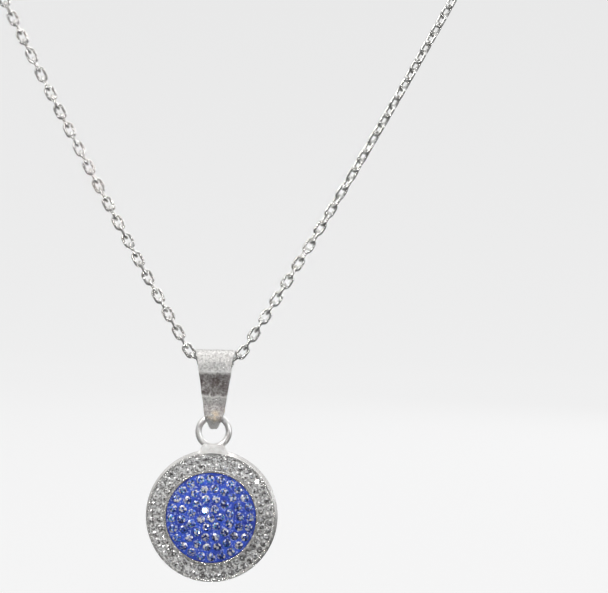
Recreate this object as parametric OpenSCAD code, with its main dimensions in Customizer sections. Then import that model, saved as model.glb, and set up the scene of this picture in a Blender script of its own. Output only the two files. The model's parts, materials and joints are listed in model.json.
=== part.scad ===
// Pendant necklace: a fine cable chain with a lobster clasp, a folded strap bail,
// and a round pendant with a domed crystal centre inside a ring of clear crystals.
// The necklace hangs as it is worn. +Z is up, the pendant faces -Y, and the origin
// is the centre of the neck opening. All sizes are in millimetres and degrees.

/* [Necklace] */
// Girth of the neck that the chain goes around
neck_girth = 360; // [300:5:400]
// Lean of each chain leg from the vertical, beside the bail
leg_lean = 31; // [28:0.5:38]
// Radius of the slight sag of each chain leg
leg_sag_radius = 860; // [700:10:1500]
// Height of the upright front of the necklace, above the bail
front_height = 60; // [50:5:70]
// Radius of the bend over the shoulders
shoulder_radius = 50; // [40:5:60]
// Angle that the chain leans back behind the shoulders
shoulder_angle = 57; // [50:1:62]

/* [Chain] */
// Diameter of the link wire
link_wire = 0.40; // [0.32:0.02:0.48]
// Outer width of a link
link_width = 1.43; // [1.35:0.01:1.70]
// Inner length of a link
link_inner_length = 1.42; // [1.30:0.02:1.70]
// Play between neighbouring links
link_play = 0.06; // [0.04:0.01:0.10]
// Radius of the turn that the chain makes inside the bail
bail_turn_radius = 4.3; // [3.9:0.1:5.0]
// Turn that the right leg takes about its own line
leg_twist = 45; // [0:5:60]

/* [Bail] */
// Thickness of the strap
strap_thickness = 0.30; // [0.25:0.05:0.40]
// Inner radius of the fold over the chain
bail_inner_radius = 1.60; // [1.60:0.05:2.00]
// Height of the fold's centre above the lowest chain link
bail_fold_height = 0.10; // [-0.15:0.05:0.30]
// Width of the strap over the chain
bail_top_width = 5.20; // [4.40:0.10:5.40]
// Width of the strap at the crease below the fold
bail_crease_width = 4.10; // [3.60:0.10:4.40]
// Width of the strap at its eye
bail_eye_width = 2.40; // [2.00:0.10:2.60]
// Width of the rounded tip
bail_tip_width = 1.10; // [0.80:0.10:1.40]
// Length of the bail from the fold's centre to the centre of its eye
bail_length = 6.80; // [6.40:0.10:8.20]
// Length of the tip below the centre of the eye
bail_tip_length = 1.70; // [1.40:0.05:1.85]

/* [Pendant ring] */
// Outer diameter of the ring that the pendant hangs from
ring_diameter = 4.76; // [4.50:0.05:5.80]
// Diameter of the ring's wire
ring_wire = 0.82; // [0.65:0.02:1.00]
// Room around the ring's wire in the bail's eye
eye_clearance = 0.12; // [0.10:0.01:0.20]

/* [Pendant disc] */
// Diameter of the disc over its stepped edge
disc_diameter = 17.2; // [16.5:0.1:21]
// Diameter of the centre cup
cup_diameter = 12.25; // [10:0.05:12.6]
// Height of the disc's edge
disc_height = 2.2; // [2:0.1:3]
// Thickness of the back plate
back_thickness = 0.6; // [0.5:0.1:0.8]
// Thickness of the outer rim
rim_wall = 0.30; // [0.25:0.05:0.40]
// Width of each of the two steps around the edge
edge_step = 0.12; // [0.08:0.02:0.20]
// Wall of the centre cup
cup_wall = 0.30; // [0.25:0.05:0.40]
// Height of the cup's rim above the disc's edge
cup_rise = 0.35; // [0.2:0.05:0.6]
// Gap between the cup and the clay that surrounds it
cup_gap = 0.03; // [0.02:0.01:0.05]
// Radius of the dome of the centre
dome_radius = 26; // [20:1:40]

/* [Crystals] */
// Diameter of a clear halo crystal
halo_crystal = 0.90; // [0.76:0.02:0.90]
// Diameter of a blue centre crystal
centre_crystal = 1.12; // [0.90:0.02:1.20]
// Distance between the rings of centre crystals
centre_ring_pitch = 1.27; // [1.25:0.01:1.60]
// Gap between halo crystals
crystal_gap = 0.05; // [0.04:0.01:0.20]

/* [Clasp] */
// Distance from the clasp's eye to the seat of its hook
clasp_reach = 6.2; // [5.6:0.1:7]
// Outer radius of the hook
hook_radius = 2.4; // [2.3:0.1:2.8]
// Inner radius of the hook
hook_inner_radius = 1.45; // [1.3:0.05:1.6]
// Thickness of the clasp's body
clasp_thickness = 1.4; // [1.2:0.1:1.5]
// Thickness of the gate
gate_thickness = 0.7; // [0.6:0.05:0.8]
// Room on each side of the gate
gate_clearance = 0.05; // [0.04:0.01:0.08]
// Diameter of the gate's pin
gate_pin_diameter = 0.50; // [0.40:0.05:0.55]
// Room around the pin inside the gate
pin_clearance = 0.03; // [0.02:0.01:0.05]
// Outer diameter of the jump ring on the clasp
jump_ring_diameter = 3.3; // [3.1:0.1:4]
// Wire of the jump ring on the clasp
jump_ring_wire = 0.5; // [0.45:0.05:0.6]
// Outer diameter of the end ring that the hook takes
end_ring_diameter = 4.2; // [4:0.1:5]
// Wire of the end ring
end_ring_wire = 0.6; // [0.5:0.05:0.65]

/* [Hidden] */
$fn = 32;
silver = "silver";
clear_crystal = "whitesmoke";
blue_crystal = "royalblue";

// The chain's route on the flat: a turn in the bail, a long sagging leg, the neck
leg_rise = 90 - leg_lean;
neck_radius = neck_girth / (2 * PI);
turn_end_x = bail_turn_radius * sin(leg_rise);
turn_end_h = bail_turn_radius * (1 - cos(leg_rise));
neck_meet = asin((leg_sag_radius * sin(leg_rise) - turn_end_x) / (leg_sag_radius - neck_radius));
neck_height = turn_end_h + leg_sag_radius * (cos(leg_rise) - cos(neck_meet))
    + neck_radius * cos(neck_meet);
turn_length = arc_length(bail_turn_radius, leg_rise);
leg_length = arc_length(leg_sag_radius, neck_meet - leg_rise);
half_length = turn_length + leg_length + arc_length(neck_radius, 180 - neck_meet);

// The links
link_arc_radius = (link_width - link_wire) / 2;
link_straight = link_inner_length - 2 * link_arc_radius + link_wire;

// The clasp's line across the nape, from the last left link to the last right link
jump_ring_radius = (jump_ring_diameter - jump_ring_wire) / 2;
end_ring_radius = (end_ring_diameter - end_ring_wire) / 2;
link_to_jump_ring = link_inner_length / 2 - link_play - jump_ring_wire / 2;
link_to_end_ring = link_inner_length / 2 - link_play - end_ring_wire / 2;
clasp_span = link_to_jump_ring + 2 * jump_ring_radius + clasp_reach + 2 * end_ring_radius
    + link_to_end_ring;
nape_angle = asin(clasp_span / 2 / neck_radius);
chain_end = half_length - arc_length(neck_radius, nape_angle);
side_links = 2 * ceil(chain_end / (link_inner_length - link_play) / 2);
link_pitch = chain_end / side_links;

// The links are grouped in runs along each side, and those at the bail are a group
bail_link_count = 2;
side_runs = 6;
run_length = ceil((side_links - bail_link_count) / side_runs);

// Heights below the lowest chain link, which is the zero of these heights
bail_pivot = bail_fold_height;
eye_height = bail_pivot - bail_length;
bail_outer_radius = bail_inner_radius + strap_thickness;
first_crease = bail_pivot - 1.0;
second_crease = bail_pivot - 4.2;
waist_drop = 1.1;
waist = 0.98;
eye_wall = 1.20;
eye_shoulder = 0.5;
tip_shoulder = 0.2;
tip_half_thickness = 0.25;
fold_shoulder = 0.45;
solder_thickness = 0.84;
solder_height = 1.2;
bail_cut_width = bail_top_width + 1;
ring_radius = (ring_diameter - ring_wire) / 2;
ring_centre = eye_height - ring_radius;
disc_radius = disc_diameter / 2;
ring_seat = 0.08;
disc_centre = ring_centre - ring_diameter / 2 - ring_seat - disc_radius;

// The disc, from its back plane forwards
rim_outer = disc_radius - 2 * edge_step;
rim_inner = rim_outer - rim_wall;
step_height = 0.45;
back_edge = 0.15;
rim_edge = 0.06;
clay_drop = 0.15;
cup_outer = cup_diameter / 2;
cup_inner = cup_outer - cup_wall;
cup_floor = 0.5;
clay_top = disc_height - clay_drop;
cup_top = disc_height + cup_rise;
dome_edge = cup_top - clay_drop;
dome_centre = dome_edge - sqrt(pow(dome_radius, 2) - pow(cup_inner, 2));
disc_back = 1.25;
foot_thickness = 1.3;
foot_top_width = 2.5;
foot_bottom_width = 3.7;
foot_top = 0.75;
foot_sink = 0.5;
foot_flare_height = 0.3;
foot_flare = 0.1;

// The crystals, as shares of their own diameter
pavilion_share = 0.43;
girdle_share = 0.06;
crown_share = 0.15;
table_share = 0.56;
halo_width = rim_inner - cup_outer - cup_gap;
halo_rows = floor(halo_width / (halo_crystal + crystal_gap));
halo_row_pitch = halo_width / halo_rows;
centre_rings = floor((cup_inner - centre_crystal / 2) / centre_ring_pitch);

// The clasp's own layout: its eye is at the zero of X and the hook opens below X
eye_radius = 1.15;
eye_hole_radius = 0.60;
eye_thickness = 1.0;
ring_bow = end_ring_radius - sqrt(pow(end_ring_radius, 2) - pow(clasp_thickness / 2, 2));
seat_room = 0.04;
hook_seat = hook_inner_radius - end_ring_wire / 2 - ring_bow - seat_room;
seat_angle = 35;
hook_centre = [clasp_reach, 0] - hook_seat * [cos(seat_angle), sin(seat_angle)];
hook_band = hook_radius - hook_inner_radius;
hook_mid_radius = hook_inner_radius + hook_band / 2;
pin_angle = 205;
gap_angle = pin_angle + 16;
nose_angle = 318;
gate_band = 0.62;
gate_eye_wall = 0.27;
gate_eye_radius = gate_pin_diameter / 2 + gate_eye_wall;
gate_slot_radius = gate_eye_radius + 0.25;
gate_slot = gate_thickness + 2 * gate_clearance;
gate_swing = 18;
gate_sweep_margin = 12;
nub_angle = 240;
nub_radius = 0.42;
spring_thickness = 0.12;
pin_place = hook_centre + hook_mid_radius * [cos(pin_angle), sin(pin_angle)];
gate_tip = hook_centre + hook_mid_radius * [cos(nose_angle - 5), sin(nose_angle - 5)] - pin_place;
gate_length = norm(gate_tip);
gate_rest_angle = atan2(gate_tip[1], gate_tip[0]);
clasp_cut = 2 * clasp_thickness;

function arc_length(radius, angle) = radius * angle * PI / 180;
function arc_angle(radius, length) = length / radius * 180 / PI;
function run_name(side, run) = str("chain_", side, "_", run);
function ring_name(ring) = str("centre_crystals_ring_", ring);
function blend(a, b, x) = let (t = min(max((x - a) / (b - a), 0), 1)) t * t * (3 - 2 * t);

// Heading of the chain's route above the horizontal, a distance s from its lowest link
function heading(s) =
    s < turn_length ? arc_angle(bail_turn_radius, s)
    : s < turn_length + leg_length ? leg_rise + arc_angle(leg_sag_radius, s - turn_length)
    : neck_meet + arc_angle(neck_radius, s - turn_length - leg_length);

// Distance across and up the flat, a distance s from the lowest link
function flat_place(s) =
    let (angle = heading(s))
    s < turn_length
        ? bail_turn_radius * [sin(angle), 1 - cos(angle)]
    : s < turn_length + leg_length
        ? [turn_end_x, turn_end_h]
            + leg_sag_radius * [sin(angle) - sin(leg_rise), cos(leg_rise) - cos(angle)]
    : [0, neck_height] + neck_radius * [sin(angle), -cos(angle)];

// The flat is upright in front and bends back over the shoulders
function lean_back(h) = min(max(arc_angle(shoulder_radius, h - front_height), 0), shoulder_angle);
function draped(x, h) =
    let (
        angle = lean_back(h),
        rest = max(h - front_height - arc_length(shoulder_radius, shoulder_angle), 0)
    )
    h <= front_height ? [x, 0, h]
    : [x,
       shoulder_radius * (1 - cos(angle)) + rest * sin(angle),
       front_height + shoulder_radius * sin(angle) + rest * cos(angle)];
function uphill(h) = [0, sin(lean_back(h)), cos(lean_back(h))];
function outward(h) = [0, -cos(lean_back(h)), sin(lean_back(h))];

lowest_link = -draped(0, neck_height);

// Turn of a link about the chain's line, beyond the quarter turn between neighbours
function twist(s) = leg_twist * blend(6, 40, s) * (1 - blend(105, 150, s));

// Puts children on the chain, their length along it and their width across its surface
module on_chain(s, roll) {
    place = flat_place(abs(s));
    angle = heading(abs(s));
    along = cos(angle) * [1, 0, 0] + sign(s) * sin(angle) * uphill(place[1]);
    across = outward(place[1]);
    wide = cos(roll) * across + sin(roll) * cross(along, across);
    thick = cross(along, wide);
    at = lowest_link + draped(sign(s) * place[0], place[1]);
    multmatrix([
        [along[0], wide[0], thick[0], at[0]],
        [along[1], wide[1], thick[1], at[1]],
        [along[2], wide[2], thick[2], at[2]]
    ])
        children();
}

module wire_ring(radius, wire) {
    rotate_extrude()
        translate([radius, 0])
            circle(d = wire);
}

module link() {
    for (side = [-1, 1]) {
        translate([side * link_straight / 2, 0, 0])
            rotate([0, 0, -side * 90])
                rotate_extrude(angle = 180)
                    translate([link_arc_radius, 0])
                        circle(d = link_wire);
        translate([-link_straight / 2, side * link_arc_radius, 0])
            rotate([0, 90, 0])
                cylinder(h = link_straight, d = link_wire);
    }
}

// Links first to last, counted from the bail, on the left (-1) or right (1) side
module links(side, first, last) {
    for (i = [first:last]) {
        s = side * i * link_pitch;
        quarter = i % 2 == 0 ? 0 : 90;
        on_chain(s, quarter + (side > 0 ? twist(s) : 0))
            link();
    }
}

module bail_links() {
    color(silver) {
        links(1, 0, bail_link_count);
        links(-1, 1, bail_link_count);
    }
}

module chain_run(side, run) {
    first = bail_link_count + 1 + (run - 1) * run_length;
    color(silver)
        links(side, first, min(first + run_length - 1, side_links));
}

// Frame of the bail and pendant: X across, Z up from the lowest link
module at_bail() {
    translate(lowest_link)
        children();
}

// A side profile, drawn as [forwards, up], becomes a slab across X
module side_slab(width) {
    rotate([90, 0, -90])
        linear_extrude(width, center = true)
            children();
}

module front_slab(depth) {
    rotate([90, 0, 0])
        linear_extrude(depth, center = true)
            children();
}

// Half widths of the bail from its top down, as [half width, height]
module bail_front() {
    top = bail_pivot + bail_outer_radius;
    tip = eye_height - bail_tip_length;
    tip_corner = 0.22;
    narrowing = (bail_crease_width - bail_eye_width) / 2 / (first_crease - eye_height);
    right = [
        [bail_top_width / 2, top],
        [bail_top_width / 2 * 0.95, top - fold_shoulder],
        [bail_crease_width / 2 + tip_corner, top - 3 * fold_shoulder],
        [bail_crease_width / 2, first_crease],
        [bail_crease_width / 2 - narrowing * (first_crease - second_crease), second_crease],
        [bail_eye_width / 2, eye_height],
        [bail_tip_width / 2, tip + tip_corner],
        [bail_tip_width / 2 - tip_corner, tip]
    ];
    left = [for (i = [len(right) - 1:-1:0]) [-right[i][0], right[i][1]]];
    polygon(concat(right, left));
}

// The folded strap from the side: the fold's circle, and the legs that close on the eye
module strap_legs() {
    mirrored_polygon([
        [bail_outer_radius, bail_pivot],
        [bail_outer_radius, first_crease],
        [waist, second_crease],
        [waist - 0.1, second_crease - waist_drop],
        [eye_wall, eye_height + eye_shoulder],
        [eye_wall, eye_height - eye_shoulder],
        [tip_half_thickness + tip_shoulder, eye_height - bail_tip_length + tip_shoulder],
        [tip_half_thickness, eye_height - bail_tip_length]
    ]);
}

module strap_hollow() {
    mirrored_polygon([
        [bail_inner_radius, bail_pivot],
        [bail_inner_radius, first_crease + 0.1],
        [waist - strap_thickness, second_crease + 0.1],
        [solder_thickness / 2, second_crease - 0.9],
        [solder_thickness / 2, eye_height]
    ]);
}

module bail_fold(radius) {
    translate([0, 0, bail_pivot])
        rotate([0, 90, 0])
            cylinder(h = bail_cut_width, r = radius, center = true, $fn = 96);
}

module mirrored_polygon(right) {
    left = [for (i = [len(right) - 1:-1:0]) [-right[i][0], right[i][1]]];
    polygon(concat(right, left));
}

// The eye widens towards both ends, because the ring curves down through it
module bail_eye() {
    half = bail_eye_width / 2 + 0.1;
    throat = ring_wire / 2 + eye_clearance;
    translate([0, 0, eye_height])
        rotate([0, 90, 0])
            rotate_extrude()
                difference() {
                    translate([0, -half])
                        square([throat + ring_radius / 2, 2 * half]);
                    translate([throat + ring_radius, 0])
                        circle(ring_radius, $fn = 64);
                }
}

module bail_strap() {
    color(silver)
        at_bail()
            difference() {
                intersection() {
                    union() {
                        bail_fold(bail_outer_radius);
                        side_slab(bail_cut_width)
                            strap_legs();
                    }
                    front_slab(4 * bail_outer_radius)
                        bail_front();
                }
                bail_fold(bail_inner_radius);
                side_slab(bail_cut_width)
                    strap_hollow();
                bail_eye();
            }
}

// Solder that closes the fold above the eye
module bail_solder() {
    color("palegoldenrod")
        at_bail()
            difference() {
                intersection() {
                    front_slab(solder_thickness)
                        bail_front();
                    translate([0, 0, eye_height + solder_height / 2])
                        cube([bail_top_width, solder_thickness, solder_height], center = true);
                }
                bail_eye();
            }
}

module pendant_ring() {
    color(silver)
        at_bail()
            translate([0, 0, ring_centre])
                rotate([90, 0, 0])
                    wire_ring(ring_radius, ring_wire);
}

// Solder foot between the ring and the disc
module ring_foot() {
    edge = disc_centre + disc_radius;
    color(silver)
        at_bail()
            difference() {
                front_slab(foot_thickness)
                    polygon([
                        [-foot_top_width / 2, edge + foot_top],
                        [foot_top_width / 2, edge + foot_top],
                        [foot_top_width / 2 + foot_flare, edge + foot_flare_height],
                        [foot_bottom_width / 2, edge - foot_sink],
                        [-foot_bottom_width / 2, edge - foot_sink],
                        [-foot_top_width / 2 - foot_flare, edge + foot_flare_height]
                    ]);
                translate([0, 0, ring_centre])
                    rotate([90, 0, 0]) {
                        wire_ring(ring_radius, ring_wire);
                        cylinder(h = 2 * foot_thickness, r = ring_radius, center = true, $fn = 64);
                    }
                on_disc()
                    translate([0, 0, -1])
                        cylinder(h = disc_height + 2, r = disc_radius, $fn = 256);
            }
}

// Frame of the disc: its axis is Z, its back is at zero and its front is up
module on_disc() {
    translate([0, disc_back, disc_centre])
        rotate([90, 0, 0])
            children();
}

module disc_part(tint) {
    color(tint)
        at_bail()
            on_disc()
                children();
}

module halo_tray() {
    disc_part(silver)
        rotate_extrude($fn = 96)
            polygon([
                [0, 0],
                [disc_radius - back_edge, 0],
                [disc_radius, back_edge],
                [disc_radius, step_height],
                [disc_radius - edge_step, step_height + edge_step],
                [disc_radius - edge_step, 2 * step_height],
                [rim_outer, 2 * step_height + edge_step],
                [rim_outer, disc_height - rim_edge],
                [rim_outer - rim_edge, disc_height],
                [rim_inner, disc_height],
                [rim_inner, back_thickness],
                [0, back_thickness]
            ]);
}

module centre_cup() {
    disc_part(silver)
        rotate_extrude($fn = 96)
            polygon([
                [0, back_thickness],
                [cup_outer, back_thickness],
                [cup_outer, cup_top - rim_edge],
                [cup_outer - rim_edge, cup_top],
                [cup_inner, cup_top],
                [cup_inner, back_thickness + cup_floor],
                [0, back_thickness + cup_floor]
            ]);
}

// One round crystal, point down, with its girdle at the zero of Z
module crystal(diameter) {
    rotate_extrude($fn = 24)
        polygon(diameter * [
            [0, -pavilion_share],
            [0.5, -girdle_share / 2],
            [0.5, girdle_share / 2],
            [table_share / 2, crown_share],
            [0, crown_share]
        ]);
}

module halo_row(row) {
    radius = cup_outer + cup_gap + (row + 0.5) * halo_row_pitch;
    count = floor(2 * PI * radius / (halo_crystal + crystal_gap));
    for (i = [0:count - 1])
        rotate(360 / count * (i + row % 2 / 2))
            translate([radius, 0, clay_top])
                crystal(halo_crystal);
}

module centre_ring(ring) {
    count = max(1, 6 * ring);
    tilt = asin(ring * centre_ring_pitch / dome_radius);
    for (i = [0:count - 1])
        rotate(360 / count * i + 8 * ring)
            translate([0, 0, dome_centre])
                rotate([0, tilt, 0])
                    translate([0, 0, dome_radius])
                        crystal(centre_crystal);
}

module halo_clay() {
    disc_part("white")
        difference() {
            translate([0, 0, back_thickness])
                cylinder(h = clay_top - back_thickness, r = rim_inner, $fn = 96);
            cylinder(h = disc_height, r = cup_outer + cup_gap, $fn = 96);
            for (row = [0:halo_rows - 1])
                halo_row(row);
        }
}

module halo_crystals_inner() {
    disc_part(clear_crystal)
        halo_row(0);
}

module halo_crystals_outer() {
    disc_part(clear_crystal)
        for (row = [1:halo_rows - 1])
            halo_row(row);
}

module centre_clay() {
    disc_part("mediumblue")
        difference() {
            intersection() {
                translate([0, 0, back_thickness + cup_floor])
                    cylinder(h = 2 * cup_top, r = cup_inner, $fn = 96);
                translate([0, 0, dome_centre])
                    sphere(dome_radius, $fn = 128);
            }
            for (ring = [0:centre_rings])
                centre_ring(ring);
        }
}

module centre_crystals(ring) {
    disc_part(blue_crystal)
        centre_ring(ring);
}

// Frame of the clasp: X from the left chain to the right, Y off the neck's surface,
// and its zero at the clasp's eye
module at_nape(x) {
    across = outward(neck_height + neck_radius);
    inward = cross([1, 0, 0], across);
    drop = neck_radius * (1 - cos(nape_angle));
    at = lowest_link + draped(0, neck_height + neck_radius) + drop * inward
        + [x - clasp_span / 2, 0, 0];
    multmatrix([
        [1, across[0], inward[0], at[0]],
        [0, across[1], inward[1], at[1]],
        [0, across[2], inward[2], at[2]]
    ])
        children();
}

clasp_eye_x = link_to_jump_ring + 2 * jump_ring_radius;

module clasp_part() {
    color(silver)
        at_nape(clasp_eye_x)
            children();
}

module sector(angle_from, angle_to, reach) {
    polygon(concat(
        [[0, 0]],
        [for (i = [0:6]) let (angle = angle_from + (angle_to - angle_from) * i / 6)
            reach * [cos(angle), sin(angle)]]
    ));
}

// The body between the eye and the hook narrows along the tangents of both circles
module clasp_neck() {
    reach = norm(hook_centre);
    slope = atan2(hook_centre[1], hook_centre[0]);
    narrowing = asin((hook_radius - eye_radius) / reach);
    up = [cos(slope + 90 + narrowing), sin(slope + 90 + narrowing)];
    down = [cos(slope - 90 - narrowing), sin(slope - 90 - narrowing)];
    polygon([
        eye_radius * up,
        eye_radius * down,
        hook_centre + hook_radius * down,
        hook_centre + hook_radius * up
    ]);
}

module gate_gap() {
    translate(hook_centre)
        sector(gap_angle, nose_angle, 2 * hook_radius);
}

// Room for the gate's tip, from rest to fully open, in the inside of the nose
module gate_sweep() {
    intersection() {
        cylinder(h = gate_slot, r = gate_length + gate_clearance, center = true, $fn = 96);
        linear_extrude(clasp_cut, center = true)
            sector(gate_rest_angle - gate_sweep_margin,
                gate_rest_angle + gate_swing + gate_sweep_margin, 2 * gate_length);
    }
}

module clasp_body() {
    clasp_part()
        difference() {
            union() {
                linear_extrude(clasp_thickness, center = true)
                    difference() {
                        union() {
                            translate(hook_centre)
                                circle(hook_radius, $fn = 64);
                            intersection() {
                                clasp_neck();
                                translate([eye_radius + 0.5, -clasp_reach])
                                    square(2 * clasp_reach);
                            }
                        }
                        gate_gap();
                    }
                linear_extrude(eye_thickness, center = true)
                    union() {
                        circle(eye_radius);
                        intersection() {
                            clasp_neck();
                            translate([0, -clasp_reach])
                                square([eye_radius + 1, 2 * clasp_reach]);
                        }
                    }
            }
            translate([hook_centre[0], hook_centre[1], 0])
                cylinder(h = clasp_cut, r = hook_inner_radius, center = true, $fn = 48);
            cylinder(h = clasp_cut, r = eye_hole_radius, center = true);
            translate([pin_place[0], pin_place[1], 0]) {
                cylinder(h = clasp_cut, d = gate_pin_diameter, center = true);
                cylinder(h = gate_slot, r = gate_slot_radius, center = true);
                gate_sweep();
            }
        }
}

module clasp_gate() {
    clasp_part()
        difference() {
            linear_extrude(gate_thickness, center = true)
                union() {
                    translate(pin_place)
                        circle(gate_eye_radius);
                    intersection() {
                        translate(hook_centre)
                            difference() {
                                circle(hook_mid_radius + gate_band / 2, $fn = 64);
                                circle(hook_mid_radius - gate_band / 2, $fn = 64);
                            }
                        translate(hook_centre)
                            sector(pin_angle, nose_angle, 2 * hook_radius);
                        translate(pin_place)
                            circle(gate_length, $fn = 96);
                    }
                    translate(hook_centre + hook_radius * [cos(nub_angle), sin(nub_angle)])
                        circle(nub_radius);
                }
            translate([pin_place[0], pin_place[1], 0])
                cylinder(h = 2 * gate_thickness, d = gate_pin_diameter + 2 * pin_clearance,
                    center = true);
        }
}

module gate_pin() {
    clasp_part()
        translate([pin_place[0], pin_place[1], 0])
            cylinder(h = clasp_thickness, d = gate_pin_diameter, center = true);
}

// Leaf spring that lies against the wall of the gate's slot, behind the gate's eye
module gate_spring() {
    clasp_part()
        linear_extrude(gate_thickness, center = true)
            translate(pin_place)
                intersection() {
                    difference() {
                        circle(gate_slot_radius);
                        circle(gate_slot_radius - spring_thickness);
                    }
                    sector(75, 200, 2 * gate_slot_radius);
                }
}

module clasp_jump_ring() {
    clasp_part()
        translate([-jump_ring_radius, 0, 0])
            rotate([90, 0, 0])
                wire_ring(jump_ring_radius, jump_ring_wire);
}

module end_ring() {
    clasp_part()
        translate([clasp_reach + end_ring_radius, 0, 0])
            rotate([90, 0, 0])
                wire_ring(end_ring_radius, end_ring_wire);
}

bail_links();
for (side = ["left", "right"], run = [1:side_runs])
    chain_run(side == "left" ? -1 : 1, run);
clasp_body();
clasp_gate();
gate_pin();
gate_spring();
clasp_jump_ring();
end_ring();
bail_strap();
bail_solder();
pendant_ring();
ring_foot();
halo_tray();
halo_clay();
halo_crystals_inner();
halo_crystals_outer();
centre_cup();
centre_clay();
for (ring = [0:centre_rings])
    centre_crystals(ring);
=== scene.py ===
import json
import math
import random

import bpy
from mathutils import Matrix, Vector


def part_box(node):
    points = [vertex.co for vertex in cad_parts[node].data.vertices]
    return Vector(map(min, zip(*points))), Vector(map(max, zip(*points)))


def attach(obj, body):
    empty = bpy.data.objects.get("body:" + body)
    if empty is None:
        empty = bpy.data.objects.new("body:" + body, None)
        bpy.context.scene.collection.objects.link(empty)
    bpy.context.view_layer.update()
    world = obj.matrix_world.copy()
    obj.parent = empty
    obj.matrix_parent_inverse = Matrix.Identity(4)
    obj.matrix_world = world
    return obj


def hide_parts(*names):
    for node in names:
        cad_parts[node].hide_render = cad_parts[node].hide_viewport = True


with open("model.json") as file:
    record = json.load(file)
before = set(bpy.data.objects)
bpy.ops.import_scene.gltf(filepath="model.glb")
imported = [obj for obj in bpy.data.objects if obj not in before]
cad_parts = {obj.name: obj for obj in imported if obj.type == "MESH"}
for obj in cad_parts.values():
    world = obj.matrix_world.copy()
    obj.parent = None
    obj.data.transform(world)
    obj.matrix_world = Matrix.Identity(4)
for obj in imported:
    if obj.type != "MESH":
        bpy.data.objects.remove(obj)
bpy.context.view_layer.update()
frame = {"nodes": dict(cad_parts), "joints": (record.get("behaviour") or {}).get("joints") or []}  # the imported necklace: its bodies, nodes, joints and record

mm = 0.001
nodes = frame["nodes"]
joints = {joint["name"]: joint for joint in frame["joints"]}
bailPivot = Vector(joints["bail_swing"]["pos_m"])
eyeCentre = Vector(joints["pendant_swing"]["pos_m"])


def middleOf(nodeName):
    low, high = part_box(nodeName)
    return (low + high) / 2


def sizeOf(nodeName):
    low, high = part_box(nodeName)
    return high - low


discCentre = middleOf("halo_tray")
discRadius = sizeOf("halo_tray").x / 2
cupRadius = sizeOf("centre_cup").x / 2


# camera, lamps and backdrop
view = {
    "lens": 100,
    "distance": 219.56 * mm,  # from the bail's pivot
    "right": 11.27 * mm,
    "up": 9.09 * mm,
    "roll": -1.53,
}

backdrop = {
    "floorDrop": 32 * mm,  # the floor lies this far below the pendant
    "floorRadius": 1.3,
    "wallRadius": 2.0,
    "wallHeight": 2.2,
    "colour": (0.14, 0.14, 0.142, 1),
    "glow": 0.76,
}

# place from the pendant, size, power, tint
softboxes = {
    "keySoftbox": ((-0.45, -0.45, 0.50), 0.30, 1.5, (1.0, 0.98, 0.95)),
    "fillSoftbox": ((0.65, -0.30, 0.12), 0.30, 0.8, (0.95, 0.97, 1.0)),
    "topSoftbox": ((0.05, 0.15, 0.80), 0.50, 1.2, (1.0, 1.0, 1.0)),
    "backSoftbox": ((0.30, 0.70, 0.35), 0.40, 0.9, (1.0, 1.0, 1.0)),
}

sparkleLamps = {"count": 11, "spread": (0.12, 0.50), "reach": 0.50, "size": 0.022, "power": 0.09}


def aimedAt(place, target):
    return (Vector(target) - Vector(place)).to_track_quat("-Z", "Y").to_euler()


def placeCamera():
    centre = bailPivot + Vector((view["right"], -view["distance"], view["up"]))
    bpy.ops.object.camera_add(location=centre)
    camera = bpy.context.object
    turn = Matrix.Rotation(math.radians(view["roll"]), 4, "Y") @ Matrix.Rotation(math.pi / 2, 4, "X")
    camera.matrix_world = Matrix.Translation(centre) @ turn
    camera.data.lens = view["lens"]
    camera.data.clip_start = 0.01
    camera.data.clip_end = 20
    bpy.context.scene.camera = camera


def addLamp(name, place, size, power, tint):
    bpy.ops.object.light_add(type="AREA", location=place, rotation=aimedAt(place, discCentre))
    lamp = bpy.context.object
    lamp.name = name
    lamp.data.size = size
    lamp.data.energy = power
    lamp.data.color = tint
    lamp.visible_camera = False


def placeLamps():
    for name, (offset, size, power, tint) in softboxes.items():
        addLamp(name, discCentre + Vector(offset), size, power, tint)
    near, far = sparkleLamps["spread"]
    for i in range(sparkleLamps["count"]):
        share = i / (sparkleLamps["count"] - 1)
        angle = i * 2.4
        side = near + (far - near) * share
        offset = Vector((side * math.cos(angle), -sparkleLamps["reach"] * (1 - share / 3), side * math.sin(angle)))
        addLamp(f"sparkleLamp{i}", discCentre + offset, sparkleLamps["size"], sparkleLamps["power"], (1, 1, 1))


# small helpers for modelling
def deselectAll():
    bpy.ops.object.select_all(action="DESELECT")


def makeActive(piece):
    deselectAll()
    piece.select_set(True)
    bpy.context.view_layer.objects.active = piece


def editMesh(piece):
    makeActive(piece)
    bpy.ops.object.mode_set(mode="EDIT")
    bpy.ops.mesh.select_all(action="SELECT")


def objectMode():
    bpy.ops.object.mode_set(mode="OBJECT")


def applyModifier(piece, kind, **settings):
    makeActive(piece)
    added = piece.modifiers.new(kind.lower(), kind)
    for name, value in settings.items():
        setattr(added, name, value)
    bpy.ops.object.modifier_apply(modifier=added.name)


def selectOnly(piece, kind, test):
    # selects the faces, edges or vertices that pass the test, with the piece in object mode
    makeActive(piece)
    bpy.ops.object.mode_set(mode="EDIT")
    bpy.ops.mesh.select_mode(type={"polygons": "FACE", "edges": "EDGE", "vertices": "VERT"}[kind])
    bpy.ops.mesh.select_all(action="DESELECT")
    bpy.ops.object.mode_set(mode="OBJECT")
    for part in getattr(piece.data, kind):
        part.select = test(part)
    bpy.ops.object.mode_set(mode="EDIT")


def settle(piece):
    # the place goes into the mesh, and the object stands at the origin
    makeActive(piece)
    bpy.ops.object.transform_apply(location=True, rotation=True, scale=True)


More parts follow.
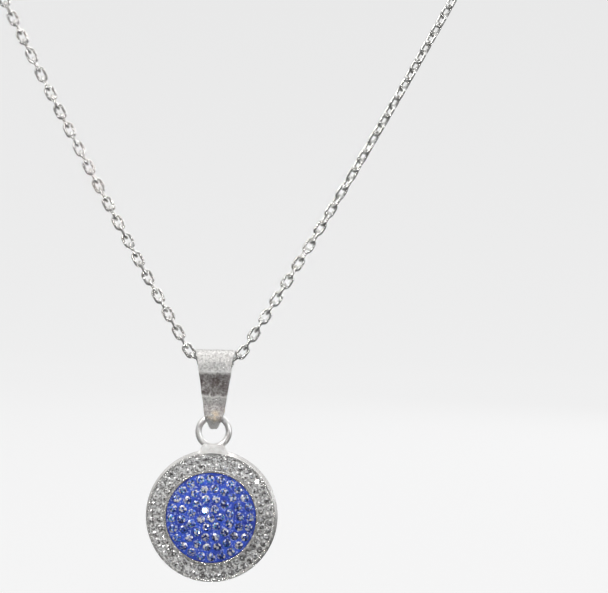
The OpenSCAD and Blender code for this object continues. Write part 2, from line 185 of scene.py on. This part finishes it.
def finishPiece(piece, name, body, replaced, material, smoothAngle=40):
    settle(piece)
    piece.name = name
    piece.data.name = name
    bpy.ops.object.shade_smooth_by_angle(angle=math.radians(smoothAngle))
    piece.data.materials.clear()
    piece.data.materials.append(material)
    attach(piece, body)
    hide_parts(*replaced)
    return piece


def mergedCopy(nodeName):
    piece = bpy.data.objects.new(nodeName + "Copy", nodes[nodeName].data.copy())
    bpy.context.scene.collection.objects.link(piece)
    editMesh(piece)
    bpy.ops.mesh.customdata_custom_splitnormals_clear()
    bpy.ops.mesh.remove_doubles(threshold=0.0005 * mm)
    objectMode()
    return piece


def dent(piece, size, depth, seed):
    # a seeded cloud texture pushes the surface in and out
    cloud = bpy.data.textures.new(f"{piece.name}Dent{seed}", "CLOUDS")
    cloud.noise_scale = size
    cloud.noise_depth = 1
    shifter = bpy.data.objects.new("dentPlace", None)
    shifter.location = (seed * 0.0137, seed * 0.0071, 0)
    bpy.context.scene.collection.objects.link(shifter)
    bpy.context.view_layer.update()
    applyModifier(piece, "DISPLACE", texture=cloud, texture_coords="OBJECT",
                  texture_coords_object=shifter, strength=depth, mid_level=0.5)
    bpy.data.objects.remove(shifter)


# small helpers for materials
def put(tree, kind, inputs={}, **settings):
    made = tree.nodes.new("ShaderNode" + kind)
    made.location = (180 * len(tree.nodes), -40 * (len(tree.nodes) % 5))
    for name, value in settings.items():
        setattr(made, name, value)
    for name, value in inputs.items():
        if isinstance(value, bpy.types.NodeSocket):
            tree.links.new(value, made.inputs[name])
        else:
            made.inputs[name].default_value = value
    return made


def mathOf(tree, operation, first, second=0.5):
    return put(tree, "Math", {0: first, 1: second}, operation=operation).outputs[0]


def mixOf(tree, factor, first, second, blend="MIX"):
    return put(tree, "Mix", {0: factor, 6: first, 7: second}, data_type="RGBA", blend_type=blend).outputs[2]


def rangeOf(tree, value, low, high, toLow=0.0, toHigh=1.0):
    made = put(tree, "MapRange", {0: value, 1: low, 2: high, 3: toLow, 4: toHigh})
    return made.outputs[0]


def centredPlace(tree, centre, turn=(0, 0, 0)):
    # object coordinates measured from a point of the piece
    place = put(tree, "TexCoord").outputs["Object"]
    moved = put(tree, "VectorMath", {0: place, 1: centre}, operation="SUBTRACT").outputs[0]
    return put(tree, "Mapping", {"Vector": moved, "Rotation": turn}).outputs[0]


def bumpOf(tree, height, distance, strength=1.0):
    return put(tree, "Bump", {"Height": height, "Distance": distance, "Strength": strength}).outputs[0]


def startMaterial(name):
    material = bpy.data.materials.new(name)
    material.use_nodes = True
    tree = material.node_tree
    return material, tree, tree.nodes["Principled BSDF"]


def feed(tree, shader, **sockets):
    names = {"colour": "Base Color", "roughness": "Roughness", "normal": "Normal", "metallic": "Metallic",
             "coat": "Coat Weight", "emission": "Emission Color"}
    for name, source in sockets.items():
        tree.links.new(source, shader.inputs[names[name]])


def makeGrainGroup():
    # grain, blotches and hair scratches of worked silver
    group = bpy.data.node_groups.new("silverGrain", "ShaderNodeTree")
    for name, default in (("Grain Scale", 4000.0), ("Blotch Scale", 500.0), ("Scratch Scale", 900.0)):
        group.interface.new_socket(name, in_out="INPUT", socket_type="NodeSocketFloat").default_value = default
    for name in ("Grain", "Blotch", "Scratch"):
        group.interface.new_socket(name, in_out="OUTPUT", socket_type="NodeSocketFloat")
    inside = group.nodes.new("NodeGroupInput")
    outside = group.nodes.new("NodeGroupOutput")
    place = put(group, "TexCoord").outputs["Object"]
    grain = put(group, "TexNoise", {"Vector": place, "Scale": inside.outputs["Grain Scale"], "Detail": 3.0,
                                    "Roughness": 0.65})
    blotch = put(group, "TexNoise", {"Vector": place, "Scale": inside.outputs["Blotch Scale"], "Detail": 3.0,
                                     "Distortion": 0.4})
    stretched = put(group, "Mapping", {"Vector": place, "Rotation": (0.3, 0.5, 0.9), "Scale": (1, 1, 0.06)})
    hair = put(group, "TexNoise", {"Vector": stretched.outputs[0], "Scale": inside.outputs["Scratch Scale"],
                                   "Detail": 2.0})
    scratch = rangeOf(group, mathOf(group, "ABSOLUTE", mathOf(group, "SUBTRACT", hair.outputs["Fac"], 0.5)),
                      0.0, 0.025, 1.0, 0.0)
    group.links.new(rangeOf(group, grain.outputs["Fac"], 0.3, 0.7), outside.inputs["Grain"])
    group.links.new(rangeOf(group, blotch.outputs["Fac"], 0.35, 0.65), outside.inputs["Blotch"])
    group.links.new(scratch, outside.inputs["Scratch"])
    return group


grainGroup = makeGrainGroup()


def grainOf(tree, grainSize, blotchSize, scratchSize):
    group = tree.nodes.new("ShaderNodeGroup")
    group.node_tree = grainGroup
    group.inputs["Grain Scale"].default_value = 1 / grainSize
    group.inputs["Blotch Scale"].default_value = 1 / blotchSize
    group.inputs["Scratch Scale"].default_value = 1 / scratchSize
    return group.outputs["Grain"], group.outputs["Blotch"], group.outputs["Scratch"]


silverLooks = {
    "chainSilver": {"bright": (0.93, 0.93, 0.92, 1), "dull": (0.70, 0.69, 0.67, 1), "roughness": (0.12, 0.26),
                    "grain": 0.10 * mm, "blotch": 0.9 * mm, "scratch": 0.20 * mm, "depth": 0.004 * mm},
    "claspSilver": {"bright": (0.93, 0.93, 0.92, 1), "dull": (0.74, 0.73, 0.71, 1), "roughness": (0.10, 0.24),
                    "grain": 0.14 * mm, "blotch": 1.2 * mm, "scratch": 0.25 * mm, "depth": 0.005 * mm},
    "ringSilver": {"bright": (0.96, 0.95, 0.94, 1), "dull": (0.86, 0.84, 0.82, 1), "roughness": (0.26, 0.40),
                   "grain": 0.16 * mm, "blotch": 0.8 * mm, "scratch": 0.22 * mm, "depth": 0.004 * mm},
    "footSilver": {"bright": (0.98, 0.97, 0.96, 1), "dull": (0.84, 0.82, 0.80, 1), "roughness": (0.38, 0.55),
                   "grain": 0.14 * mm, "blotch": 0.6 * mm, "scratch": 0.22 * mm, "depth": 0.012 * mm},
    "springSteel": {"bright": (0.62, 0.62, 0.63, 1), "dull": (0.45, 0.45, 0.47, 1), "roughness": (0.20, 0.35),
                    "grain": 0.05 * mm, "blotch": 0.5 * mm, "scratch": 0.10 * mm, "depth": 0.002 * mm},
}


def silverMaterial(name):
    look = silverLooks[name]
    material, tree, shader = startMaterial(name)
    shader.inputs["Metallic"].default_value = 1.0
    grain, blotch, scratch = grainOf(tree, look["grain"], look["blotch"], look["scratch"])
    low, high = look["roughness"]
    rough = rangeOf(tree, mathOf(tree, "ADD", mathOf(tree, "MULTIPLY", blotch, 0.7),
                                 mathOf(tree, "MULTIPLY", grain, 0.3)), 0.0, 1.0, low, high)
    colour = mixOf(tree, blotch, look["bright"], look["dull"])
    height = mathOf(tree, "SUBTRACT", grain, mathOf(tree, "MULTIPLY", scratch, 0.5))
    feed(tree, shader, colour=colour, roughness=rough, normal=bumpOf(tree, height, look["depth"]))
    return material


print("Materials of the chain and clasp")
chainSilver = silverMaterial("chainSilver")
claspSilver = silverMaterial("claspSilver")
ringSilver = silverMaterial("ringSilver")
springSteel = silverMaterial("springSteel")


# pendant silver: turned rings on the back, a bright rim, and a dark line inside the cup
pendantLook = {
    "bright": (0.97, 0.96, 0.94, 1),
    "dull": (0.80, 0.78, 0.76, 1),
    "cupEdgeDark": (0.10, 0.065, 0.05, 1),
    "turningPitch": 0.11 * mm,
    "turningDepth": 0.004 * mm,
}


def pendantSilverMaterial():
    material, tree, shader = startMaterial("pendantSilver")
    shader.inputs["Metallic"].default_value = 1.0
    grain, blotch, scratch = grainOf(tree, 0.12 * mm, 1.4 * mm, 0.35 * mm)
    place = centredPlace(tree, discCentre)
    axes = put(tree, "SeparateXYZ", {0: place})
    radius = mathOf(tree, "SQRT", mathOf(tree, "ADD", mathOf(tree, "POWER", axes.outputs["X"], 2.0),
                                         mathOf(tree, "POWER", axes.outputs["Z"], 2.0)))
    turns = mathOf(tree, "SINE", mathOf(tree, "MULTIPLY", radius, 2 * math.pi / pendantLook["turningPitch"]))
    # a darker line along the inside of the cup's rim, on the cup's front side
    cupInner = cupRadius - 0.30 * mm
    dark = rangeOf(tree, radius, cupInner + 0.01 * mm, cupInner + 0.06 * mm, 1.0, 0.0)
    facing = rangeOf(tree, axes.outputs["Y"], -0.2 * mm, 0.0, 1.0, 0.0)
    dark = mathOf(tree, "MULTIPLY", dark, facing)
    colour = mixOf(tree, mathOf(tree, "MULTIPLY", blotch, 0.8), pendantLook["bright"], pendantLook["dull"])
    colour = mixOf(tree, dark, colour, pendantLook["cupEdgeDark"])
    rough = rangeOf(tree, mathOf(tree, "ADD", blotch, grain), 0.0, 2.0, 0.14, 0.36)
    height = mathOf(tree, "ADD", mathOf(tree, "MULTIPLY", turns, 0.35), grain)
    feed(tree, shader, colour=colour, roughness=rough, normal=bumpOf(tree, height, pendantLook["turningDepth"]))
    return material


# clays
clayLooks = {
    "whiteClay": {"colour": (0.66, 0.65, 0.64, 1), "deep": (0.07, 0.065, 0.06, 1), "fleck": (1.0, 1.0, 1.0, 1),
                  "fleckSize": 0.16 * mm, "fleckShare": 0.60, "roughness": 0.40},
    "blueClay": {"colour": (0.040, 0.125, 0.82, 1), "deep": (0.010, 0.030, 0.38, 1), "fleck": (0.50, 0.60, 1.0, 1),
                 "fleckSize": 0.16 * mm, "fleckShare": 0.16, "roughness": 0.42},
}


def clayMaterial(name):
    look = clayLooks[name]
    material, tree, shader = startMaterial(name)
    shader.inputs["Metallic"].default_value = 0.0
    shader.inputs["Specular IOR Level"].default_value = 0.55
    place = centredPlace(tree, discCentre)
    cells = put(tree, "TexVoronoi", {"Vector": place, "Scale": 1 / look["fleckSize"]})
    cellTone = put(tree, "SeparateColor", {0: cells.outputs["Color"]})
    fleck = rangeOf(tree, cellTone.outputs[0], 1 - look["fleckShare"], 1 - look["fleckShare"] / 2)
    cloud = put(tree, "TexNoise", {"Vector": place, "Scale": 1 / (1.1 * mm), "Detail": 4.0}).outputs["Fac"]
    colour = mixOf(tree, rangeOf(tree, cloud, 0.35, 0.70), look["colour"], look["deep"])
    colour = mixOf(tree, rangeOf(tree, cellTone.outputs[1], 0.6, 1.0, 0.0, 0.55), colour, look["deep"])
    colour = mixOf(tree, mathOf(tree, "MULTIPLY", fleck, 0.8), colour, look["fleck"])
    rough = rangeOf(tree, fleck, 0.0, 1.0, look["roughness"], 0.15)
    height = mathOf(tree, "ADD", cellTone.outputs[2], cloud)
    feed(tree, shader, colour=colour, roughness=rough, normal=bumpOf(tree, height, 0.02 * mm))
    return material


# crystals: one faceted stone, copied into each seat
stone = {
    "sides": 8,
    "girdle": 0.06,  # shares of the stone's diameter
    "crown": 0.15,
    "table": 0.56,
    "pavilion": 0.43,
    "facetRise": 0.020,
    "tilt": 9.0,
    # painted light: stones towards the upper left are lighter, those towards the lower right darker
    "paintedLightAboveLeft": 0.55,
}

# facet colours: the stone's own tint, with painted dark reflections and white painted sparkles among them
stoneTintsAndSparkle = {
    "blue": [((0.040, 0.11, 0.70, 1), 30), ((0.008, 0.018, 0.16, 1), 20), ((0.10, 0.24, 1.0, 1), 22),
             ((0.45, 0.58, 1.0, 1), 9), ((0.92, 0.88, 1.0, 1), 13), ((0.10, 0.55, 1.0, 1), 6)],
    "clear": [((0.74, 0.73, 0.72, 1), 28), ((1.00, 1.00, 1.00, 1), 34), ((0.22, 0.21, 0.20, 1), 18),
              ((0.04, 0.036, 0.034, 1), 17), ((0.84, 0.74, 0.76, 1), 5), ((0.74, 0.78, 0.90, 1), 5)],
}


def modelStone():
    # the crown and table rise from the girdle, and the pavilion closes to a point behind
    bpy.ops.mesh.primitive_circle_add(vertices=stone["sides"], radius=0.5, fill_type="NGON",
                                      location=(0, 0, -stone["girdle"] / 2))
    piece = bpy.context.object
    settle(piece)
    editMesh(piece)
    bpy.ops.mesh.extrude_region_move(TRANSFORM_OT_translate={"value": (0, 0, stone["girdle"])})
    crownRise = stone["crown"] - stone["girdle"] / 2
    bpy.ops.mesh.extrude_region_move(TRANSFORM_OT_translate={"value": (0, 0, crownRise)})
    bpy.ops.transform.resize(value=(2 * stone["table"] / 2, 2 * stone["table"] / 2, 1))
    bpy.ops.mesh.poke(offset=0)
    objectMode()
    crownFace = lambda face: 0.2 < face.normal.z < 0.95
    selectOnly(piece, "polygons", crownFace)
    bpy.ops.mesh.poke(offset=stone["facetRise"])
    objectMode()
    selectOnly(piece, "polygons", lambda face: face.normal.z < -0.9)
    bpy.ops.mesh.poke(offset=stone["pavilion"])
    bpy.ops.mesh.select_all(action="SELECT")
    bpy.ops.mesh.normals_make_consistent(inside=False)
    objectMode()
    return piece


def stoneSeats(nodeName):
    # where each stone of a CAD node sits: the middle of its girdle, its axis and its diameter
    stones = mergedCopy(nodeName)
    editMesh(stones)
    bpy.ops.mesh.dissolve_limited(angle_limit=math.radians(1))
    bpy.ops.mesh.separate(type="LOOSE")
    objectMode()
    seats = []
    for single in list(bpy.context.selected_objects):
        table = max(single.data.polygons, key=lambda face: face.area)
        axis = table.normal.normalized()
        top = table.center.copy()
        reach = max((v.co - top - axis * (v.co - top).dot(axis)).length for v in single.data.vertices)
        seats.append((top - axis * stone["crown"] * 2 * reach, axis, 2 * reach))
        bpy.data.objects.remove(single)
    return sorted(seats, key=lambda seat: (round(seat[0].x, 6), round(seat[0].z, 6)))


def paintFacetTintAndSparkle(mesh, tints, draw, paintedLight):
    colours = [tint for tint, weight in tints]
    weights = [weight for tint, weight in tints]
    # each facet is painted one drawn colour from the list: the stone's tint, a painted dark reflection or a white
    # painted sparkle
    shade = mesh.color_attributes.new(name="facetTint", type="FLOAT_COLOR", domain="CORNER")
    for face in mesh.polygons:
        tint = draw.choices(colours, weights)[0]
        for corner in face.loop_indices:
            shade.data[corner].color = [min(1.0, c * paintedLight) for c in tint[:3]] + [1.0]


def setStones(name, nodeName, tints, material, seed):
    draw = random.Random(seed)
    copies = []
    for centre, axis, diameter in stoneSeats(nodeName):
        copy = bpy.data.objects.new(name, modelled.data.copy())
        bpy.context.scene.collection.objects.link(copy)
        spin = Matrix.Rotation(draw.uniform(0, 2 * math.pi), 4, "Z")
        lean = Matrix.Rotation(math.radians(draw.uniform(-stone["tilt"], stone["tilt"])), 4, "X")
        turn = axis.to_track_quat("Z", "Y").to_matrix().to_4x4()
        copy.data.transform(Matrix.Translation(centre) @ turn @ spin @ lean @ Matrix.Scale(diameter, 4))
        offset = centre - discCentre
        # painted light: lighter towards the upper left of the disc, times a random brightness for each stone
        paintedLight = 1.0 + stone["paintedLightAboveLeft"] * (offset.z - offset.x) / discRadius
        paintFacetTintAndSparkle(copy.data, stoneTintsAndSparkle[tints], draw, paintedLight * draw.uniform(0.80, 1.20))
        copies.append(copy)
    deselectAll()
    for copy in copies:
        copy.select_set(True)
    bpy.context.view_layer.objects.active = copies[0]
    if len(copies) > 1:
        bpy.ops.object.join()
    return finishPiece(copies[0], name, "pendant", [nodeName], material, smoothAngle=1)


def crystalMaterial(name, cellSize, dark, bright, metallic):
    material, tree, shader = startMaterial(name)
    shader.inputs["Coat Weight"].default_value = 1.0
    shader.inputs["Coat Roughness"].default_value = 0.03
    shader.inputs["Coat IOR"].default_value = 1.9
    shader.inputs["Metallic"].default_value = metallic
    tint = put(tree, "Attribute", attribute_name="facetTint").outputs["Color"]
    place = put(tree, "TexCoord").outputs["Object"]
    cells = put(tree, "TexVoronoi", {"Vector": place, "Scale": 1 / cellSize})
    tone = put(tree, "SeparateColor", {0: cells.outputs["Color"]})
    # painted dark reflections in some small cells, and white painted sparkles in others
    colour = mixOf(tree, rangeOf(tree, tone.outputs[0], 0.60, 0.80, 0.0, 0.85), tint, dark)
    colour = mixOf(tree, rangeOf(tree, tone.outputs[1], 0.74, 0.82, 0.0, 1.0), colour, bright)
    rough = rangeOf(tree, tone.outputs[2], 0.0, 1.0, 0.04, 0.16)
    feed(tree, shader, colour=colour, roughness=rough)
    return material


# bail: a strap folded over the chain, closed on the pendant's ring
bail = {
    # forwards from the bail's middle plane, and up from its pivot
    "side": [(0.33, -8.46), (0.46, -8.28), (0.84, -7.80), (1.16, -7.25), (1.19, -6.80), (1.16, -6.35),
             (0.98, -5.70), (0.88, -5.30), (0.93, -4.70), (1.04, -4.32), (1.05, -4.20), (1.06, -4.06),
             (1.20, -3.45), (1.39, -2.60), (1.66, -1.70), (1.88, -1.12), (1.94, -1.00), (1.92, -0.86),
             (1.90, -0.40)],
    # half width of the strap, by height from the pivot
    "widths": [(-8.50, 0.33), (-8.28, 0.55), (-6.80, 1.20), (-4.20, 1.58), (-1.00, 2.05), (0.55, 2.25),
               (1.45, 2.47), (1.90, 2.60)],
    "foldRadius": 1.90,
    "foldSteps": 14,
    "thickness": 0.30 * mm,
    "columns": 10,
    "edgeRound": 0.07 * mm,
    "eyeRoom": 0.10 * mm,  # around the ring's wire
    "eyeReach": 1.45 * mm,  # the cut's half length across the strap
    "eyeSteps": 12,
}


def strapHalfWidth(up):
    knots = bail["widths"]
    for (low, narrow), (high, wide) in zip(knots, knots[1:]):
        if up <= high:
            return narrow + (wide - narrow) * max(up - low, 0) / (high - low)
    return knots[-1][1]


def strapRows():
    # rows across the strap, from the tip in front, over the fold, to the tip behind
    steps = bail["foldSteps"]
    fold = [(bail["foldRadius"] * math.cos(math.pi * i / steps), bail["foldRadius"] * math.sin(math.pi * i / steps))
            for i in range(steps + 1)]
    front = bail["side"]
    back = [(-forwards, up) for forwards, up in reversed(front)]
    return [(forwards * mm, up * mm, strapHalfWidth(up) * mm) for forwards, up in front + fold + back]


def modelStrap():
    rows = strapRows()
    bpy.ops.mesh.primitive_grid_add(x_subdivisions=bail["columns"], y_subdivisions=1, size=1)
    piece = bpy.context.object
    selectOnly(piece, "vertices", lambda vertex: vertex.co.y > 0)
    bpy.ops.mesh.delete(type="VERT")
    bpy.ops.mesh.select_all(action="SELECT")
    forwards, up, half = rows[0]
    bpy.ops.transform.resize(value=(2 * half, 1, 1))
    bpy.ops.transform.translate(value=bailPivot + Vector((0, 0.5 - forwards, up)))
    for nextForwards, nextUp, nextHalf in rows[1:]:
        bpy.ops.mesh.extrude_region_move(
            TRANSFORM_OT_translate={"value": (0, forwards - nextForwards, nextUp - up)})
        bpy.ops.transform.resize(value=(nextHalf / half, 1, 1), center_override=bailPivot)
        forwards, up, half = nextForwards, nextUp, nextHalf
    objectMode()
    return piece


def cutEye(strap):
    # the eye widens to both sides as the ring curves down through it, so the ring can swing
    wire = sizeOf("pendant_ring").y / 2
    bend = sizeOf("pendant_ring").x / 2 - wire
    reach = bail["eyeReach"]

    def eyeRadius(across):
        return wire + bail["eyeRoom"] + bend - math.sqrt(bend ** 2 - across ** 2)

    bpy.ops.mesh.primitive_circle_add(vertices=64, radius=eyeRadius(reach), fill_type="NGON",
                                      location=eyeCentre - Vector((reach, 0, 0)), rotation=(0, math.pi / 2, 0))
    cutter = bpy.context.object
    settle(cutter)
    editMesh(cutter)
    across, step = -reach, 2 * reach / bail["eyeSteps"]
    for i in range(bail["eyeSteps"]):
        grown = eyeRadius(min(across + step, reach)) / eyeRadius(across)
        bpy.ops.mesh.extrude_region_move(TRANSFORM_OT_translate={"value": (step, 0, 0)})
        bpy.ops.transform.resize(value=(1, grown, grown), center_override=eyeCentre + Vector((across + step, 0, 0)))
        across += step
    bpy.ops.mesh.select_all(action="SELECT")
    bpy.ops.mesh.normals_make_consistent(inside=False)
    objectMode()
    applyModifier(strap, "BOOLEAN", operation="DIFFERENCE", object=cutter, solver="EXACT")
    bpy.data.objects.remove(cutter)


def buildBail(material, solderMaterial):
    strap = modelStrap()
    applyModifier(strap, "SOLIDIFY", thickness=bail["thickness"], offset=-1)
    applyModifier(strap, "BEVEL", width=bail["edgeRound"], segments=2, limit_method="ANGLE",
                  angle_limit=math.radians(50))
    applyModifier(strap, "SUBSURF", levels=2, render_levels=2)
    dent(strap, 1.3 * mm, 0.10 * mm, 3)
    dent(strap, 0.45 * mm, 0.035 * mm, 8)
    cutEye(strap)
    finishPiece(strap, "bailStrap", "bail", ["bail_strap"], material)

    low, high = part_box("bail_solder")
    bpy.ops.mesh.primitive_cube_add(size=1, location=((low + high) / 2).to_tuple())
    blob = bpy.context.object
    blob.location.z += 0.15 * mm
    blob.scale = (high.x - low.x, 1.26 * mm, 1.0 * mm)
    settle(blob)
    applyModifier(blob, "BEVEL", width=0.25 * mm, segments=3)
    applyModifier(blob, "SUBSURF", levels=3, render_levels=3)
    dent(blob, 0.35 * mm, 0.08 * mm, 5)
    finishPiece(blob, "solderFill", "bail", ["bail_solder"], solderMaterial)


bailLook = {
    "bright": (0.90, 0.89, 0.87, 1),
    "satin": (0.46, 0.445, 0.435, 1),
    "shadow": (0.20, 0.165, 0.16, 1),
    "warm": (0.84, 0.72, 0.56, 1),
    # heights of the painted highlight lines on the crease ridges
    "highlightRidges": (-1.0 * mm, -4.2 * mm),
}


def bailSilverMaterial():
    material, tree, shader = startMaterial("bailSilver")
    shader.inputs["Metallic"].default_value = 1.0
    grain, blotch, scratch = grainOf(tree, 0.26 * mm, 0.75 * mm, 0.30 * mm)
    place = centredPlace(tree, bailPivot)
    height = put(tree, "SeparateXYZ", {0: place}).outputs["Z"]
    wavy = mathOf(tree, "ADD", height, rangeOf(tree, blotch, 0, 1, -0.25 * mm, 0.25 * mm))
    # painted shade: a dark band across the strap between the two ridges, and darkening below the lower ridge,
    # broken up by grain
    band = mathOf(tree, "MULTIPLY", rangeOf(tree, wavy, -4.3 * mm, -3.6 * mm), rangeOf(tree, wavy, -0.9 * mm, -1.5 * mm))
    lower = rangeOf(tree, wavy, -4.4 * mm, -5.2 * mm, 0.0, 0.80)
    paintedShadeBand = mathOf(tree, "MULTIPLY", mathOf(tree, "MAXIMUM", band, lower),
                     rangeOf(tree, mathOf(tree, "ADD", grain, blotch), 0.5, 1.6, 0.35, 1.0))
    colour = mixOf(tree, rangeOf(tree, grain, 0.2, 0.9), bailLook["bright"], bailLook["satin"])
    colour = mixOf(tree, paintedShadeBand, colour, bailLook["shadow"])
    # painted highlights: bright lines along the two crease ridges
    for ridge in bailLook["highlightRidges"]:
        near = mathOf(tree, "ABSOLUTE", mathOf(tree, "SUBTRACT", wavy, ridge))
        colour = mixOf(tree, rangeOf(tree, near, 0.10 * mm, 0.32 * mm, 0.9, 0.0), colour, bailLook["bright"])
    patch = put(tree, "VectorMath", {0: place, 1: (0.10 * mm, -1.0 * mm, -6.85 * mm)}, operation="DISTANCE")
    warmth = mathOf(tree, "MULTIPLY", rangeOf(tree, patch.outputs["Value"], 1.1 * mm, 0.35 * mm),
                    rangeOf(tree, blotch, 0.1, 0.8))
    colour = mixOf(tree, warmth, colour, bailLook["warm"])
    # painted highlight: the strap made brighter near its front tip
    tip = rangeOf(tree, wavy, -7.35 * mm, -7.75 * mm)
    colour = mixOf(tree, tip, colour, bailLook["bright"])
    rough = rangeOf(tree, grain, 0.0, 1.0, 0.26, 0.48)
    rise = mathOf(tree, "SUBTRACT", grain, mathOf(tree, "MULTIPLY", scratch, 0.4))
    feed(tree, shader, colour=colour, roughness=rough, normal=bumpOf(tree, rise, 0.030 * mm))
    return material


def solderMaterialMade():
    material, tree, shader = startMaterial("solderSilver")
    shader.inputs["Metallic"].default_value = 1.0
    grain, blotch, scratch = grainOf(tree, 0.15 * mm, 0.5 * mm, 0.3 * mm)
    colour = mixOf(tree, blotch, (0.86, 0.76, 0.58, 1), (0.55, 0.46, 0.34, 1))
    rough = rangeOf(tree, grain, 0, 1, 0.25, 0.5)
    feed(tree, shader, colour=colour, roughness=rough, normal=bumpOf(tree, grain, 0.03 * mm))
    return material


# solder foot between the ring and the disc
foot = {"topShare": 0.66, "flare": 1.28, "sink": 0.35 * mm, "crown": 0.20 * mm}


def buildFoot(material):
    low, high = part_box("ring_foot")
    bottom = low.z - foot["sink"]
    middle = (low + high) / 2
    bpy.ops.mesh.primitive_cube_add(size=1, location=(middle.x, middle.y, (bottom + high.z) / 2))
    piece = bpy.context.object
    piece.scale = (foot["flare"] * (high.x - low.x), high.y - low.y, high.z + foot["crown"] - bottom)
    settle(piece)
    selectOnly(piece, "polygons", lambda face: face.normal.z > 0.9)
    bpy.ops.transform.resize(value=(foot["topShare"], 0.85, 1))
    bpy.ops.mesh.select_all(action="SELECT")
    bpy.ops.mesh.subdivide(number_cuts=3)
    objectMode()
    selectOnly(piece, "vertices", lambda vertex: bottom + 0.3 * mm < vertex.co.z < high.z - 0.1 * mm)
    bpy.ops.transform.resize(value=(0.97, 0.98, 1), center_override=middle)
    objectMode()
    applyModifier(piece, "SUBSURF", levels=3, render_levels=3)
    dent(piece, 0.5 * mm, 0.07 * mm, 11)
    finishPiece(piece, "ringFoot", "pendant", ["ring_foot"], material)


# clasp: cast pieces, so their edges are soft
claspCast = {"claspBody": ("clasp_body", "necklace", 0.055 * mm, 8), "claspGate": ("clasp_gate", "clasp_gate", 0.04 * mm, 5)}


def buildClasp(material):
    for name, (nodeName, body, grainSize, rounds) in claspCast.items():
        piece = mergedCopy(nodeName)
        applyModifier(piece, "REMESH", mode="VOXEL", voxel_size=grainSize)
        applyModifier(piece, "SMOOTH", factor=0.5, iterations=rounds)
        finishPiece(piece, name, body, [nodeName], material)


def buildBackdrop():
    # a floor that curves up into a wall all round
    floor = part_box("halo_tray")[0].z - backdrop["floorDrop"]
    bpy.ops.mesh.primitive_circle_add(vertices=96, radius=backdrop["floorRadius"], fill_type="NGON",
                                      location=(0, 0, floor))
    cove = bpy.context.object
    settle(cove)
    selectOnly(cove, "edges", lambda edge: True)
    reach = backdrop["wallRadius"] - backdrop["floorRadius"]
    steps = 10
    radius = backdrop["floorRadius"]
    rise = 0
    for i in range(1, steps + 1):
        angle = math.pi / 2 * i / steps
        nextRadius = backdrop["floorRadius"] + reach * math.sin(angle)
        nextRise = reach * (1 - math.cos(angle))
        bpy.ops.mesh.extrude_edges_move(TRANSFORM_OT_translate={"value": (0, 0, nextRise - rise)})
        bpy.ops.transform.resize(value=(nextRadius / radius, nextRadius / radius, 1), center_override=(0, 0, floor))
        radius, rise = nextRadius, nextRise
    bpy.ops.mesh.extrude_edges_move(TRANSFORM_OT_translate={"value": (0, 0, backdrop["wallHeight"] - rise)})
    bpy.ops.mesh.select_all(action="SELECT")
    bpy.ops.mesh.normals_make_consistent(inside=True)
    objectMode()
    bpy.ops.object.shade_smooth()
    cove.name = "backdropCove"
    material, tree, shader = startMaterial("backdropPaper")
    shader.inputs["Roughness"].default_value = 0.9
    shader.inputs["Specular IOR Level"].default_value = 0.1
    place = put(tree, "TexCoord").outputs["Object"]
    fibre = put(tree, "TexNoise", {"Vector": place, "Scale": 900.0, "Detail": 3.0}).outputs["Fac"]
    shade = rangeOf(tree, fibre, 0.3, 0.7, 0.97, 1.0)
    feed(tree, shader, colour=mixOf(tree, 1.0, backdrop["colour"], shade, "MULTIPLY"))
    shader.inputs["Emission Color"].default_value = (1.0, 1.0, 1.0, 1)
    shader.inputs["Emission Strength"].default_value = backdrop["glow"]
    cove.data.materials.append(material)
    cove.visible_glossy = False
    cove.visible_diffuse = False
    cove.visible_shadow = False


def makeWorld():
    # what the silver mirrors: bright above and at the sides, greyer in front and dark below
    world = bpy.data.worlds.new("studio")
    bpy.context.scene.world = world
    world.use_nodes = True
    tree = world.node_tree
    direction = put(tree, "SeparateXYZ", {0: put(tree, "TexCoord").outputs["Generated"]})
    height = rangeOf(tree, direction.outputs["Z"], -0.5, 0.6, 0.10, 0.75)
    front = rangeOf(tree, direction.outputs["Y"], -1.0, 0.3, 0.55, 1.0)
    level = mathOf(tree, "MULTIPLY", height, front)
    tree.links.new(level, tree.nodes["Background"].inputs["Color"])
    tree.nodes["Background"].inputs["Strength"].default_value = 1.0


print("Camera, lamps and backdrop")
deselectAll()
placeCamera()
placeLamps()
buildBackdrop()
makeWorld()
bpy.context.scene.view_settings.view_transform = "Standard"

print("Bail and solder")
buildBail(bailSilverMaterial(), solderMaterialMade())
print("Foot of the ring")
buildFoot(silverMaterial("footSilver"))
print("Clasp")
buildClasp(claspSilver)

print("Crystals")
modelled = modelStone()
# the dark and bright colours are the painted dark reflections and painted sparkles of the crystals
clearCrystal = crystalMaterial("clearCrystal", 0.19 * mm, (0.07, 0.06, 0.06, 1), (1.0, 1.0, 1.0, 1), 0.30)
blueCrystal = crystalMaterial("blueCrystal", 0.27 * mm, (0.004, 0.010, 0.13, 1), (0.96, 0.95, 1.0, 1), 0.30)
setStones("haloStonesInner", "halo_crystals_inner", "clear", clearCrystal, 21)
setStones("haloStonesOuter", "halo_crystals_outer", "clear", clearCrystal, 22)
for ring in range(sum(name.startswith("centre_crystals_ring_") for name in nodes)):
    setStones(f"centreStonesRing{ring}", f"centre_crystals_ring_{ring}", "blue", blueCrystal, 40 + ring)
bpy.data.objects.remove(modelled)

print("Materials of the CAD pieces that stay")
pendantSilver = pendantSilverMaterial()
cadMaterials = {
    "chain_": chainSilver,
    "bail_links": chainSilver,
    "gate_pin": claspSilver,
    "gate_spring": springSteel,
    "clasp_jump_ring": claspSilver,
    "end_ring": claspSilver,
    "pendant_ring": ringSilver,
    "halo_tray": pendantSilver,
    "centre_cup": pendantSilver,
    "halo_clay": clayMaterial("whiteClay"),
    "centre_clay": clayMaterial("blueClay"),
}
for nodeName, node in nodes.items():
    for start, material in cadMaterials.items():
        if nodeName.startswith(start):
            node.material_slots[0].material = material
